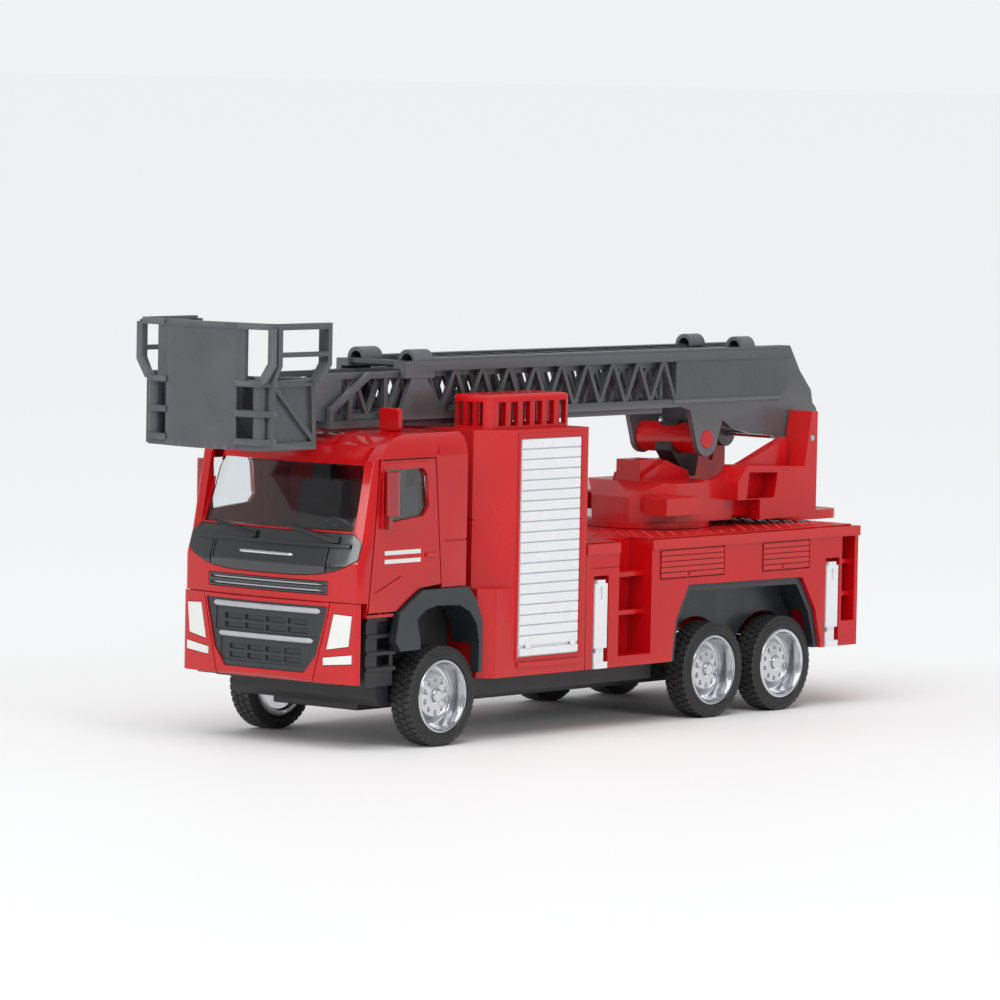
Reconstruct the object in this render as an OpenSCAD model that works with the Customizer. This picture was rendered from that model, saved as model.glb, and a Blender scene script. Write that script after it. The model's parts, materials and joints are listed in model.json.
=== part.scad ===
// Toy ladder fire engine, 1:50, in millimetres.
// X runs across the truck (+X is its left side), the front faces -Y, Z is up.
// The origin is on the ground, under the middle of the overall length.

/* [Wheels] */
// Outer radius of a tyre
tyre_r = 10.6; // [10:0.1:11]
// Width of a tyre
tyre_w = 6.4; // [5:0.1:6.8]
// Outer radius of a rim
rim_r = 7.9; // [7.5:0.1:8.2]
// Radius of the steel axles
axle_r = 1.2; // [1:0.05:1.4]
// Distance from the centre plane to the outer face of a wheel
wheel_out_x = 26; // [25.5:0.1:26.4]
// Lug holes in each rim
lug_holes = 10; // [6:1:12]

/* [Body] */
// Width of the cab
cab_w = 50; // [49:0.5:50]
// Width of the two bodies behind the cab
body_w = 54; // [53:0.5:55]
// Height of the cab roof and of the tall body
roof_z = 66; // [65:0.5:66]
// Height of the rear deck
deck_z = 40.5; // [39:0.5:41]
// Underside of the bodies, which is the top of the base plate
floor_z = 13.5; // [13:0.1:14]
// Wall of the moulded bodies
wall = 1.4; // [1:0.1:2]
// Slats in each white roller shutter
slats = 20; // [12:1:24]

/* [Doors] */
// Thickness of a door
door_t = 1.2; // [1:0.1:1.4]

/* [Ladder] */
// Half width of the base section
ladder_hw = 9.6; // [9:0.1:9.7]
// Thickness of a ladder side
ladder_t = 1.2; // [1:0.1:1.3]
// Sideways gap between one ladder section and the next
section_gap = 0.4; // [0.3:0.05:0.5]
// Underside of the middle section
ladder_z = 66.5; // [66.5:0.1:67]
// Top of the base section
ladder_top_z = 80.7; // [80:0.1:81]

/* [Bucket] */
// Half width of the bucket at its floor
bucket_hw = 17; // [15:0.5:18]
// Top of the bucket rail
bucket_top_z = 89.5; // [88:0.5:90]

/* [Stabilisers] */
// Width of a stabiliser leg
leg_w = 4.2; // [3.6:0.1:4.6]
// Length of a stabiliser leg
leg_l = 19.2; // [18:0.1:19.5]

/* [Hidden] */
$fn = 48;
eps = 0.01;
fit = 0.06;

// Places along the truck
front_axle_y = -50;
middle_axle_y = 42;
rear_axle_y = 66.7;
cab_front_y = -78;
cab_back_y = -42.4;
tall_front_y = -37.5;
tall_back_y = -4.9;
rear_front_y = -4.7;
rear_back_y = 92.5;
slew_y = 49;
pivot_y = 88.4;
pivot_z = 60;
pivot_r = 0.8;
lug_y = 58.3;
lug_z = 60.3;
tilt_y = -74;
tilt_z = 72.9;

// Doors
door_hinge_x = cab_w / 2 - door_t / 2;
door_hinge_y = -69.4;
door_outline = [[-73.4, 29.2], [-64.6, 29.2], [-60.9, 31.6], [-57.2, 33.7], [-50.5, 34.3],
    [-52.9, 60.8], [-70, 60.8]];
door_window = [[-67.8, 47.9], [-68.4, 58.9], [-56.9, 58.9], [-55.6, 57.4], [-54.9, 50.6], [-56.4, 48.9]];

// Arches over the wheels, as seen from the side
front_arch_out = [[-65.8, 23], [-64, 20.8], [-57.8, 21], [-57.8, 15], [-37.8, 15], [-37.8, 25.8],
    [-39.9, 30.6], [-42.6, 33.4], [-57.2, 33.4], [-60.9, 31.2], [-64.6, 28.8]];
front_arch_in = [[-57.8, 14], [-57.8, 22.6], [-59, 27.3], [-56.1, 29.2], [-52.5, 29.9], [-45.2, 29.6],
    [-41.9, 28], [-39.8, 25.4], [-38.9, 21.5], [-38.9, 14]];
rear_arch_out = [[25.4, 13], [25.4, 15], [26.6, 22.6], [30.9, 30.1], [71.9, 29.8], [76.9, 22.3], [79, 15],
    [79, 13]];
rear_arch_in = [[27.2, 12], [27.2, 15], [28.3, 22.1], [32.1, 28.5], [70.8, 28.2], [75.2, 21.9],
    [77.5, 15], [77.5, 12]];

// ---------------------------------------------------------------- helpers

// A copy on each side of the centre plane
module both_sides() {
    children();
    mirror([1, 0, 0]) children();
}

// Box from its lowest to its highest corner
module block(low, high) {
    translate(low) cube(high - low);
}

// Outline in Y and Z, extruded from x0 to x1
module side_plate(outline, x0, x1) {
    translate([x0, 0, 0]) rotate([90, 0, 90]) linear_extrude(x1 - x0) polygon(outline);
}

// Outline in X and Y, extruded from z0 to z1
module top_plate(outline, z0, z1) {
    translate([0, 0, z0]) linear_extrude(z1 - z0) polygon(outline);
}

// Outline in X and Z, extruded from y0 to y1
module front_plate(outline, y0, y1) {
    translate([0, y1, 0]) rotate([90, 0, 0]) linear_extrude(y1 - y0) polygon(outline);
}

// Cylinder along X from x0 to x1 with its axis at y, z
module x_cylinder(r, x0, x1, y, z) {
    translate([x0, y, z]) rotate([0, 90, 0]) cylinder(r = r, h = x1 - x0);
}

// Flat bar of height h and thickness t between two points of a side
module side_bar(a, b, h, x0, x1) {
    d = [b[0] - a[0], b[1] - a[1]] / norm([b[0] - a[0], b[1] - a[1]]);
    n = [-d[1], d[0]] * h / 2;
    side_plate([a - n, b - n, b + n, a + n], x0, x1);
}

// Points of an arc in a plane, from angle a0 to a1
function arc(c, r, a0, a1, steps = 8) =
    [for (i = [0:steps]) c + r * [cos(a0 + (a1 - a0) * i / steps), sin(a0 + (a1 - a0) * i / steps)]];

// Rectangle with rounded corners, from its lowest to its highest corner
function round_rect(low, high, r, steps = 6) = concat(
    arc([high[0] - r, high[1] - r], r, 0, 90, steps),
    arc([low[0] + r, high[1] - r], r, 90, 180, steps),
    arc([low[0] + r, low[1] + r], r, 180, 270, steps),
    arc([high[0] - r, low[1] + r], r, 270, 360, steps));

// ---------------------------------------------------------------- base and wheels

module chassis_base() {
    spine_hw = 12;
    pedestal_hw = 17.4;
    color([0.09, 0.09, 0.1]) difference() {
        union() {
            block([-spine_hw, -61.5, 7.2], [spine_hw, 87, floor_z]);
            side_plate([[-65.8, floor_z], [-65.8, 10.4], [-64.4, 8.9], [-61.4, 8.8], [-61.4, floor_z]],
                -20.4, 20.4);
            block([-20, -36, 9.2], [20, 27, floor_z]);
            side_plate([[80, floor_z], [80, 9.2], [88, 9.2], [91, 11], [91, floor_z]], -12, 12);
            block([-pedestal_hw, -73.9, floor_z - eps], [pedestal_hw, -38.9, cab_floor_z]);
            both_sides() x_cylinder(2.6, spine_hw - eps, 18.6, front_axle_y, tyre_r);
        }
        for (y = [front_axle_y, middle_axle_y, rear_axle_y])
            x_cylinder(axle_r + fit, -30, 30, y, tyre_r);
        for (y = [-20, 15, 84]) translate([0, y, 0]) cylinder(r = 1.9, h = 8.6);
        translate([0, -30, 7.2 - eps]) cylinder(r = 1.9, h = 1.4);
    }
}

module chassis_screws() {
    color([0.7, 0.7, 0.72]) for (y = [-20, 15, 84]) translate([0, y, 7.5]) difference() {
        cylinder(r = 1.7, h = 1.1);
        block([-1.2, -0.2, -eps], [1.2, 0.2, 0.5]);
        block([-0.2, -1.2, -eps], [0.2, 1.2, 0.5]);
    }
}

module axle_at(y) {
    color([0.75, 0.76, 0.78]) x_cylinder(axle_r, -(wheel_out_x - 3.4), wheel_out_x - 3.4, y, tyre_r);
}

// Half section of a rim: radius, then depth behind the wheel's outer face
rim_section = [[axle_r, 6.2], [axle_r, 3.4], [0, 3.4], [0, 1.5], [1.2, 1.5], [1.5, 1.7], [1.6, 2.3],
    [4.4, 2.5],
    [4.9, 2.9], [5.1, 4.2], [5.9, 4.6], [6.6, 4.1], [6.9, 1], [7, 0.35], [7.3, 0.2], [rim_r - 0.2, 0.25],
    [rim_r, 0.5], [rim_r, 5.9], [7.3, 6.2]];

// A rim standing on its outer face, with its axis along Z
module rim_shape() {
    difference() {
        rotate_extrude() polygon(rim_section);
        for (i = [0:lug_holes - 1]) rotate([0, 0, 360 / lug_holes * i])
            translate([3.5, 0, 2]) cylinder(r = 0.45, h = 1.1);
        rotate_extrude() polygon([[3, 5.2], [6.4, 5.4], [6.6, 6.4], [3, 6.4]]);
    }
}

// Half section of a tyre: radius, then depth behind the outer face
tyre_section = concat(
    [[rim_r, tyre_w - 0.3], [rim_r, 0.3], [rim_r + 0.4, 0]],
    arc([tyre_r - 1, 1], 1, 270, 360, 5),
    [[tyre_r, 2.2], [tyre_r - 0.5, 2.3], [tyre_r - 0.5, 2.7], [tyre_r, 2.8]],
    [[tyre_r, tyre_w - 2.8], [tyre_r - 0.5, tyre_w - 2.7], [tyre_r - 0.5, tyre_w - 2.3],
        [tyre_r, tyre_w - 2.2]],
    arc([tyre_r - 1, tyre_w - 1], 1, 0, 90, 5),
    [[rim_r + 0.4, tyre_w]]);

// Places a wheel piece, modelled with its axis along Z, on the left (+1) or right (-1) side
module on_wheel(side, y) {
    translate([side * wheel_out_x, y, tyre_r]) rotate([0, -90 * side, 0]) children();
}

module rim(side, y) {
    color([0.85, 0.86, 0.88]) on_wheel(side, y) rim_shape();
}

module tyre(side, y) {
    color([0.1, 0.1, 0.1]) on_wheel(side, y) rotate_extrude() polygon(tyre_section);
}

// ---------------------------------------------------------------- cab

screen_tilt = 18.5;
pillar_tilt = 11;
pillar_x = 21.6;
front_curve_r = 140;
cab_floor_z = 30.7;

corner_r = 1.8;
corner_x = cab_w / 2 - corner_r;
corner_swing = asin(corner_x / (front_curve_r - corner_r));

// Front edge of the plan: a shallow curve with tangent round corners, kept in by t. The corners
// start a0 degrees round from the side
function nose(front, t, a0 = 0) =
    let (cy = front + front_curve_r, yc = cy - sqrt(pow(front_curve_r - corner_r, 2) - pow(corner_x, 2)))
    concat(
        arc([-corner_x, yc], corner_r - t, 180 + a0, 270 - corner_swing, 6),
        arc([0, cy], front_curve_r - t, 270 - corner_swing + 2, 270 + corner_swing - 2, 12),
        arc([corner_x, yc], corner_r - t, 270 + corner_swing, 360 - a0, 6));

// Plan of the cab, kept in by t
function cab_plan(t) = concat([[cab_w / 2 - t, cab_back_y - t], [-cab_w / 2 + t, cab_back_y - t]],
    nose(cab_front_y, t));

// Leans children back about a line across the cab at the given depth, at the foot of the windscreen
module sloped(tilt, y) {
    translate([0, y, 44.5]) rotate([-tilt, 0, 0]) children();
}

module sloped_block(t) {
    top_plate(concat([[25 - t, 90], [-25 + t, 90]], nose(0, t)), -60, 100);
}

// The whole cab as a block with walls kept in by t
module cab_form(t) {
    intersection() {
        top_plate(cab_plan(t), 28.2 - t, roof_z + 1);
        // Sloping windscreen face, with steeper pillars beside it
        union() {
            sloped(screen_tilt, -76.3) sloped_block(t);
            both_sides() intersection() {
                sloped(pillar_tilt, -76.3) sloped_block(t);
                block([pillar_x + t, -90, 20], [25, 0, 70]);
            }
        }
        front_plate([[-25 + t, 20], [25 - t, 20], [25 - t, 61.2], [24.6 - t, 63.2], [23.7 - t, 65],
            [22.3 - t, 66 - t],
            [-22.3 + t, 66 - t], [-23.7 + t, 65], [-24.6 + t, 63.2], [-25 + t, 61.2]], -90, 0);
        side_plate([[-90, 20], [0, 20], [0, 66 - t], [-60 + t, 66 - t], [-64.6 + t, 65.2 - t],
            [-68.4 + t, 63.4 - t],
            [-71.2 + t, 60.6 - t], [-90, 60.6 - t]], -40, 40);
    }
}

// The part of the cab's skin between two depths that lies inside an outline seen from the front
module cab_skin(outer, inner, outline) {
    intersection() {
        difference() {
            cab_form(outer);
            cab_form(inner);
        }
        front_plate(outline, -90, -62);
    }
}

// Front view of the black panel: a curved lower edge below the windscreen
panel_hw = 23.8;
panel_outline = concat([[-21.5, 45.6], [-panel_hw, 43.6]],
    [for (i = [-8:8]) [i * panel_hw / 8, 36.4 + 0.000012 * pow(i * panel_hw / 8, 4)]],
        [[panel_hw, 43.6], [21.5, 45.6]]);

// Rectangle seen from the front
function front_rect(x0, z0, x1, z1) = [[x0, z0], [x1, z0], [x1, z1], [x0, z1]];

slot_outline = front_rect(-16.8, 32.7, 16.8, 35.6);

// Opening of the windscreen, seen from the front
screen_outline = [[-21, 46], [21, 46], [20.5, 57.6], [19.5, 59.6], [-19.5, 59.6], [-20.5, 57.6]];

module cab_shell() {
    color([0.75, 0.03, 0.04]) difference() {
        union() {
            difference() {
                cab_form(0);
                cab_form(wall);
                front_plate(screen_outline, -90, -62);
            }
            intersection() {
                cab_form(0);
                union() {
                    both_sides() block([21.8, -73.1, 28.2], [24.4, -65.4, 28.9]);
                    both_sides() block([22.4, -71.4, 61.1], [26, -67.6, 63.6]);
                }
            }
        }
        // Room for the bumper and for the front wheels
        block([-30, -90, 0], [30, -73.9, 31.3]);
        side_plate(concat([[-65.4, 20], [-65.4, 28.9], [-64.9, 29.1]],
            [[-60.9, 31.5], [-57.2, 33.5], [-42.5, 33.5], [-40, 33.5], [-40, 20]]), -30, 30);
        // Door openings
        both_sides() side_plate([[-73.8, 28.9], [-64.8, 28.9], [-60.7, 31.3], [-57, 33.4], [-50.2, 33.4],
            [-50.2, 34], [-52.6, 61.1], [-70.4, 61.1]], 20, 30);
        // Groove in front of the rear panel, and the rib low on it
        both_sides() side_plate([[-52, 61.6], [-51.6, 61.6], [-51.3, 67], [-51.7, 67]], 24.4, 26);
        both_sides() block([24.7, -49.6, 43.2], [26, -42, 43.6]);
        // Hinge pin holes
        both_sides() translate([door_hinge_x, door_hinge_y, 28]) cylinder(r = 0.35 + fit, h = 34, $fn = 24);
        // Recesses of the black panel and of the upper grille
        cab_skin(-1, 0.7, panel_outline);
        cab_skin(-1, 0.7, slot_outline);
    }
}

module windscreen() {
    color([0.8, 0.88, 0.92, 0.35])
        cab_skin(0.4, wall - 0.2, [for (p = screen_outline) [p[0] * 0.998, 52.8 + (p[1] - 52.8) * 0.998]]);
}

module cab_interior() {
    color([0.13, 0.14, 0.15]) union() {
        block([-20.2, -73.4, cab_floor_z], [20.2, -44.2, cab_floor_z + 1.3]);
        // Dashboard
        side_plate([[-73.4, 31.1], [-73.4, 42], [-70.5, 43.4], [-68, 42.2], [-67.2, 31.1]], -20.2, 20.2);
        // Two seats
        for (x = [-16.5, 4.5]) {
            block([x, -57, 31.1], [x + 12, -47, 37]);
            side_plate([[-50.5, 36.9], [-48.5, 54], [-46.2, 54], [-46.2, 31.1], [-50.5, 31.1]], x, x + 12);
            block([x + 3.5, -48.6, 53.9], [x + 8.5, -46.3, 57.5]);
        }
    }
}

module steering_wheel() {
    color([0.08, 0.08, 0.09]) translate([10.5, -65.1, 44.5]) rotate([-55, 0, 0]) {
        rotate_extrude() translate([4, 0]) circle(r = 0.5, $fn = 16);
        cylinder(r = 1.1, h = 0.8, center = true);
        for (a = [90, 210, 330]) rotate([0, 0, a]) block([0.5, -0.4, -0.3], [4, 0.4, 0.3]);
        translate([0, 0, -2.9]) cylinder(r = 0.6, h = 2.7);
    }
}

module front_panel() {
    color([0.07, 0.075, 0.08]) difference() {
        union() {
            cab_skin(-0.15, 0.7, [for (p = panel_outline) [p[0], min(p[1] + 0.15, 45.5)]]);
            // Lip under the windscreen
            cab_skin(-0.7, 0.2, front_rect(-21.5, 42.7, 21.5, 43.4));
        }
        // Seams beside the middle, and the shallow field between them
        for (s = [-1, 1]) cab_skin(-1, 0.3, front_rect(s * 16.2 - 0.17, 30, s * 16.2 + 0.17, 42.5));
        cab_skin(-1, 0.05, front_rect(-15.6, 38.6, 15.6, 42.2));
    }
}

module wipers() {
    color([0.03, 0.03, 0.03]) for (x = [-4.5, 17.5]) {
        cab_skin(-0.9, -0.2, [[x, 43.6], [x + 0.9, 44.4], [x - 12.6, 46.9], [x - 12.9, 46.3]]);
        cab_skin(-0.8, -0.2, [[x - 0.6, 43.6], [x + 1, 43.6], [x + 1, 45], [x - 0.6, 45]]);
    }
}

module upper_grille() {
    color([0.08, 0.08, 0.09]) difference() {
        cab_skin(0.1, 0.7, front_rect(-16.7, 32.8, 16.7, 35.5));
        for (z = [33.2, 34.5]) cab_skin(-1, 0.45, front_rect(-16.1, z, 16.1, z + 0.6));
    }
}

// Half width of the central part of the bumper at height z
function grille_hw(z) = 12.9 + (z - 14.9) * 0.272;

grille_outline = [[-grille_hw(30.2), 30.3], [grille_hw(30.2), 30.3], [grille_hw(20), 20],
    [grille_hw(17.5) - 2.4, 16.2],
    [-grille_hw(17.5) + 2.4, 16.2], [-grille_hw(20), 20]];

// Outline moved to its mirror image
function mirrored(outline) = [for (p = outline) [-p[0], p[1]]];

// Headlight and fog light outlines, grown by g
function lamp_outline(g) = [[18.7 - g, 28.9 + g], [23.1 + g, 28.7 + g], [22.4 + g, 22.3 - g],
    [17 - g, 21.4 - g]];
function fog_outline(g) = [[16.2 - g, 18.1 - g], [23.2 + g, 18.7 - g], [23.2 + g, 20.6 + g],
    [16.2 - g, 19.7 + g]];

// The bumper as a block with its face kept in by t
module bumper_form(t) {
    intersection() {
        top_plate(nose(cab_front_y - 0.4, t, 26.3), 14.3, 31.2);
        side_plate([[-79.5 + t, 32], [-70, 32], [-70, 14], [-77 + t, 14], [-78.6 + t, 15.4],
            [-79.1 + t, 17]], -30, 30);
    }
}

// The part of the bumper's skin between two depths that lies inside an outline seen from the front
module bumper_skin(outer, inner, outline) {
    intersection() {
        difference() {
            bumper_form(outer);
            bumper_form(inner);
        }
        front_plate(outline, -90, -70);
    }
}

module bumper() {
    color([0.75, 0.03, 0.04]) difference() {
        bumper_form(0);
        bumper_skin(-1, 1.5, grille_outline);
        for (outline = [[[13, 13], [13.3, 13], [18.1, 32], [17.8, 32]], lamp_outline(0.08),
            fog_outline(0.08)]) {
            depth = outline[0][0] == 13 ? 0.3 : 0.7;
            bumper_skin(-1, depth, outline);
            bumper_skin(-1, depth, mirrored(outline));
        }
    }
}

module lamps(outline) {
    color([0.93, 0.93, 0.9]) for (o = [outline, mirrored(outline)]) bumper_skin(-0.1, 0.6, o);
}

module main_grille() {
    slot_outlines = [for (tier = [0, 1], row = [0, 1], i = [-2:1])
        let (w = (10.4 + tier * 1.6) / 2, z = 18 + tier * 6.3 + row * 1.8)
        front_rect(i * w + 0.35, z, (i + 1) * w - 0.35, z + 1.1)];
    color([0.17, 0.19, 0.2]) difference() {
        bumper_skin(0.35, 1.5, grille_outline);
        for (o = slot_outlines) bumper_skin(-1, 1.1, o);
        // Hollow round the slots under each light bar
        for (tier = [0, 1]) bumper_skin(-1, 0.6, front_rect(-12.6 - tier * 1.6, 17.4 + tier * 6.3,
            12.6 + tier * 1.6, 22.1 + tier * 6.3));
    }
}

// How far the frame of a door's window stands out
window_rim = 0.25;

module door(side) {
    color([0.75, 0.03, 0.04]) mirror([side < 0 ? 1 : 0, 0, 0]) difference() {
        union() {
            side_plate(door_outline, cab_w / 2 - door_t, cab_w / 2);
            translate([door_hinge_x, door_hinge_y, 29.2]) cylinder(r = door_t / 2, h = 31.6);
            translate([door_hinge_x, door_hinge_y, 28.3]) cylinder(r = 0.35, h = 33.5, $fn = 24);
            // Raised frame of the window
            difference() {
                side_plate(round_rect([-69.6, 46.4], [-53.7, 60.3], 1.2), cab_w / 2 - 0.1,
                    cab_w / 2 + window_rim);
                side_plate([[-69.6, 40], [-60, 48], [-53, 52], [-53, 40]], cab_w / 2 - 1, cab_w / 2 + 1);
            }
            // Grip
            block([cab_w / 2 - 0.1, -55.6, 40.2], [cab_w / 2 + 0.45, -52.2, 41.1]);
        }
        side_plate(door_window, 20, 30);
        // Groove low on the door
        side_bar([-71.6, 33.4], [-63.4, 36.6], 0.35, cab_w / 2 - 0.25, 26);
    }
}

module door_glass(side) {
    color([0.7, 0.8, 0.85, 0.35]) mirror([side < 0 ? 1 : 0, 0, 0])
        side_plate(door_window, cab_w / 2 - door_t + 0.1, cab_w / 2 - door_t + 0.6);
}

module mirror_arm(side) {
    color([0.75, 0.03, 0.04]) mirror([side < 0 ? 1 : 0, 0, 0]) union() {
        top_plate(round_rect([25.5, -69.9], [27.8, -66.6], 1.1), 49.4, 58.6);
        block([cab_w / 2 + window_rim, -69.2, 46.6], [26.6, -68, 49.6]);
    }
}

module cab_steps() {
    color([0.08, 0.085, 0.09]) both_sides() difference() {
        union() {
            block([17.41, -72.6, floor_z + 0.01], [22.6, -62.8, 28.1]);
            for (z = [16.9, 20.2, 23.8, 27.3])
                block([22.5, -72.6, z], [24, -62.8 - (z > 26 ? 3.4 : 0.6), z + 0.8]);
            block([22.5, -72.6, 13.52], [23.6, -69, 28.1]);
        }
        block([20.6, -68, 21.3], [26, -63.9, 23.6]);
        block([20.6, -68, 17.9], [26, -63.9, 20]);
    }
}

module front_fenders() {
    liner_out = [for (p = front_arch_in) p + [(p[0] - front_axle_y) * 0.07, p[1] > 15 ? 0.7 : 0]];
    color([0.16, 0.18, 0.2]) both_sides() union() {
        difference() {
            side_plate(front_arch_out, 23.6, 26);
            side_plate(front_arch_in, 20, 30);
            side_plate([[-66.6, 14], [-66.6, 20.5], [-62.7, 20.8], [-62.7, 28.2], [-72, 28.2], [-72, 14]],
                20, 24.05);
        }
        difference() {
            side_plate([for (p = liner_out) [max(p[0], -62), p[1]]], 18.2, 23.7);
            side_plate(front_arch_in, 10, 30);
            block([10, -70, 0], [30, -30, 21.2]);
        }
    }
}

module ladder_guide() {
    color([0.75, 0.03, 0.04]) front_plate(round_rect([11.4, roof_z], [16.9, 70.9], 0.9), -55.7, -54.3);
}

// ---------------------------------------------------------------- tall body

tall_plan = [[-27, -28.6], [-21.8, -37], [21.8, -37], [27, -28.6], [27, tall_back_y], [-27, tall_back_y]];
tall_low_plan = [[-27, -34.6], [-24, tall_front_y], [24, tall_front_y], [27, -34.6], [27, tall_back_y],
    [-27, tall_back_y]];
shutter_low = [-27.7, 17.5];
shutter_high = [-7.4, 64.1];

module pump_body() {
    color([0.75, 0.03, 0.04]) difference() {
        union() {
            top_plate(tall_plan, 30, roof_z);
            top_plate(tall_low_plan, floor_z, 32.5);
            // Frame round each shutter, and the ridge under it
            both_sides() difference() {
                side_plate([[-28.4, 16.8], [-5.4, 16.8], [-5.4, 65.2], [-28.4, 65.2]], 26.5,
                    body_w / 2 + 0.25);
                side_plate([shutter_low, [shutter_high[0], shutter_low[1]], shutter_high,
                    [shutter_low[0], shutter_high[1]]],
                    20, 30);
            }
            both_sides() block([26.5, -27.7, 15.3], [body_w / 2 + 0.45, -7.4, 16.4]);
        }
        top_plate([for (p = tall_plan) [p[0] * 0.94, p[1] * 0.94 - 1.3]], floor_z - 1, roof_z - wall);
        both_sides() block([body_w / 2 - 0.6, shutter_low[0], shutter_low[1]],
            [30, shutter_high[0], shutter_high[1]]);
        // Seams across the front
        block([-30, -40, 46.9], [30, -36.8, 47.2]);
    }
}

module roof_cage() {
    x0 = 11.7;
    x1 = 22.5;
    y0 = -32.9;
    y1 = -5.2;
    z1 = 73.3;
    color([0.78, 0.03, 0.04]) difference() {
        intersection() {
            top_plate(round_rect([x0, y0], [x1, y1], 2.2), roof_z, z1);
            side_plate(round_rect([y0, roof_z - 5], [y1, z1], 2), 0, 40);
            front_plate(round_rect([x0, roof_z - 5], [x1, z1], 1.6), -40, 0);
        }
        top_plate(round_rect([x0 + 1.3, y0 + 1.3], [x1 - 1.3, y1 - 1.3], 1.2), roof_z - 1, z1 - 1.2);
        // Slots in the long sides, then in the ends
        for (i = [0:5]) block([5, y0 + 3.2 + i * 4, roof_z + 0.6], [30, y0 + 5.6 + i * 4, z1 - 1.6]);
        for (i = [0:2]) block([x0 + 1.9 + i * 2.7, -40, roof_z + 0.6], [x0 + 3.5 + i * 2.7, 0, z1 - 1.6]);
    }
}

module shutter(side) {
    pitch = (shutter_high[1] - shutter_low[1] - 2.4) / slats;
    color([0.94, 0.95, 0.96]) mirror([side < 0 ? 1 : 0, 0, 0]) union() {
        block([body_w / 2 - 0.6, shutter_low[0], shutter_low[1]],
            [body_w / 2 - 0.1, shutter_high[0], shutter_high[1]]);
        for (i = [0:slats - 1]) {
            z = shutter_low[1] + 2.4 + pitch * i;
            block([body_w / 2 - 0.2, shutter_low[0] + 0.4, z + 0.15],
                [body_w / 2 + 0.35, shutter_high[0] - 0.4, z + pitch - 0.15]);
        }
    }
}

module shutter_handles() {
    color([0.92, 0.93, 0.94]) both_sides() union() {
        block([body_w / 2 - 0.1, shutter_low[0] + 0.5, shutter_low[1] + 0.3],
            [body_w / 2 + 0.6, shutter_high[0] - 0.5, shutter_low[1] + 1.9]);
        for (y = [-25.4, -10.4])
            block([body_w / 2 + 0.36, y, shutter_low[1] + 1.8],
                [body_w / 2 + 0.75, y + 1.5, shutter_low[1] + 3.4]);
    }
}

// ---------------------------------------------------------------- rear body

locker_boxes = [[[20.5, 31.7], [43.5, 38.3]], [[56.9, 31.7], [74.5, 38.3]]];
slot_ys = [-2.2, 80.4];
niche_x = 20.4;
slot_w = 5.2;
slot_top = 33.6;

module rear_body() {
    hw = body_w / 2;
    color([0.75, 0.03, 0.04]) difference() {
        union() {
            difference() {
                block([-hw, rear_front_y, floor_z], [hw, rear_back_y, deck_z]);
                block([-19, rear_front_y + wall, floor_z - 1], [19, rear_back_y - wall, deck_z - 2]);
                // Wheel arches and hollow sides
                both_sides() side_plate(rear_arch_out, 18, 30);
                both_sides() block([18.9, 23, 31.2], [hw - 2.2, 76, deck_z - 2]);
                both_sides() block([18.9, 19.4, floor_z - 1], [hw - 2, 24.4, deck_z - 2]);
            }
            // Deck lip and skirting
            difference() {
                block([-hw - 0.35, rear_front_y, deck_z - 2.2], [hw + 0.35, rear_back_y + 0.3, deck_z]);
                block([-hw + 1, rear_front_y - 1, 0], [hw - 1, rear_back_y - 1, 60]);
            }
        }
        // Step niches behind the tall body
        both_sides() block([niche_x, 6.5, 15.8], [30, 17.8, 60]);
        // Step niches at the rear corners, under the deck
        both_sides() block([21, 86.5, 19.1], [30, 91.3, deck_z - 2.2]);
        // Stabiliser slots
        for (y = slot_ys) both_sides() block([hw - 2.3, y, floor_z - 1], [30, y + slot_w, slot_top]);
        // Locker recesses
        for (b = locker_boxes)
            both_sides() side_plate([b[0], [b[1][0], b[0][1]], b[1], [b[0][0], b[1][1]]], hw - 0.7, 30);
        // Seams of the front panel
        both_sides() block([hw - 0.25, -3.4, 35.2], [30, 6.5, 35.5]);
        // Rear face: a locker recess and two lamp recesses
        block([-13, rear_back_y - 0.7, 17.5], [13, 95, 36.6]);
        both_sides() block([15.4, rear_back_y - 0.6, 20], [18.6, 95, 27.2]);
    }
    // Rungs in the niches, and ribs of the rear locker
    color([0.75, 0.03, 0.04]) {
        for (z = [24.4, 32.7]) both_sides() block([niche_x - eps, 6.49, z], [24.6, 17.81, z + 1]);
        for (z = [24.6, 31.9]) both_sides() block([20.99, 86.49, z], [25.4, 91.31, z + 1]);
        for (i = [0:7])
            block([-12.4, rear_back_y - 0.71, 18.3 + i * 2.3], [12.4, rear_back_y - 0.1, 20 + i * 2.3]);
        both_sides() block([15.7, rear_back_y - 0.61, 20.3], [18.3, rear_back_y - 0.05, 26.9]);
    }
}

module deck_plate() {
    color([0.7, 0.03, 0.04]) difference() {
        block([-25.8, rear_front_y + 0.3, deck_z], [25.8, 91.4, deck_z + 0.4]);
        both_sides() block([niche_x, 6.5, deck_z - 1], [30, 17.8, deck_z + 1]);
        translate([0, slew_y, deck_z - 1]) cylinder(r = 5.2, h = 3);
    }
}

module rear_fenders() {
    color([0.14, 0.16, 0.18]) both_sides() union() {
        difference() {
            side_plate(rear_arch_out, 24.2, 26.2);
            side_plate(rear_arch_in, 20, 30);
            block([0, 0, 0], [40, 100, floor_z]);
        }
        // Liner behind the trim
        difference() {
            side_plate(rear_arch_out, 19.05, 20);
            block([0, 0, 0], [40, 100, floor_z]);
            for (y = [middle_axle_y, rear_axle_y]) x_cylinder(11.4, 10, 30, y, tyre_r);
        }
        difference() {
            side_plate(rear_arch_out, 19.9, 24.3);
            side_plate(rear_arch_in, 10, 30);
            block([0, 0, 0], [40, 100, 22]);
        }
    }
}

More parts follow.
